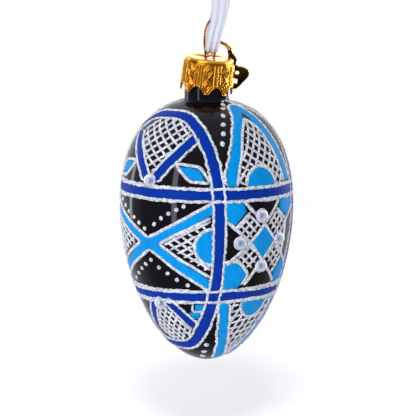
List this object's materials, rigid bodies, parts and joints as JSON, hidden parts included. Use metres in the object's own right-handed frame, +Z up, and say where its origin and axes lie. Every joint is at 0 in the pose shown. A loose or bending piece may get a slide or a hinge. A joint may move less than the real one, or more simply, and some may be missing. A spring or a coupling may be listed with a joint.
{
  "type": "hanging glass egg ornament",
  "caption": "Hollow blown-glass egg with painted folk pattern and half pearls, toothed metal cap on a neck, wire hanger loop, jump ring with pierced charm, and a knotted ribbon to hang it.",
  "frame": {"origin": "the point under the knot where a hook or twig carries the ribbon loop", "axes": "+Z up, along the egg's neck axis; -Y is the front, between a loop-band face and a diamond face; +X to the right"},
  "size_m": [0.055, 0.055, 0.1484],
  "materials": {
    "enamelled_glass": "black lacquered glass with blue enamel and white glitter relief",
    "half_pearl": "pearlescent",
    "copper_wire": "drawn copper, polished",
    "gold_cap": "stamped and gold plated",
    "gold_ring": "gold plated wire",
    "dark_bronze": "die-cut, blackened face with bright edges",
    "satin_ribbon": "white satin, woven lengthwise ribs"
  },
  "bodies": {
    "knot": {"ribbon_knot": "satin_ribbon"},
    "ribbon": {"ribbon": "satin_ribbon"},
    "hanger": {"hanger_wire": "copper_wire", "ornament_cap": "gold_cap"},
    "egg": {"glass_shell": "enamelled_glass", "pearl_loop_face_1_upper": "half_pearl", "pearl_loop_face_1_lower": "half_pearl", "pearl_loop_face_2_upper": "half_pearl", "pearl_loop_face_2_lower": "half_pearl", "pearl_diamond_face_1_top": "half_pearl", "pearl_diamond_face_1_bottom": "half_pearl", "pearl_diamond_face_1_left": "half_pearl", "pearl_diamond_face_1_right": "half_pearl", "pearl_diamond_face_2_top": "half_pearl", "pearl_diamond_face_2_bottom": "half_pearl", "pearl_diamond_face_2_left": "half_pearl", "pearl_diamond_face_2_right": "half_pearl"},
    "ring": {"jump_ring": "gold_ring"},
    "charm": {"charm_tag": "dark_bronze"}
  },
  "joints": [
    {"name": "ribbon_twist", "type": "hinge", "parent": "knot", "child": "ribbon", "pos_m": [0, 0, 0], "axis": [0, 0, 1], "range_deg": [-90, 90], "deforming": ["ribbon"]},
    {"name": "hanger_swing", "type": "hinge", "parent": "ribbon", "child": "hanger", "pos_m": [-0.00248, -0.00155, -0.0172], "axis": [0.7611, 0.6473, -0.0417], "range_deg": [-60, 60], "deforming": ["ribbon"]},
    {"name": "egg_pull_off", "type": "slide", "parent": "hanger", "child": "egg", "axis": [0, 0, -1], "range_m": [0, 0.024]},
    {"name": "ring_lift", "type": "hinge", "parent": "hanger", "child": "ring", "pos_m": [-0.00109, 0.00092, -0.02505], "axis": [0.7222, -0.1118, 0.6826], "range_deg": [0, 50]},
    {"name": "charm_swing", "type": "hinge", "parent": "ring", "child": "charm", "pos_m": [0.00162, 0.0051, -0.02724], "axis": [0.8664, -0.1147, 0.4861], "range_deg": [0, 60]}
  ]
}
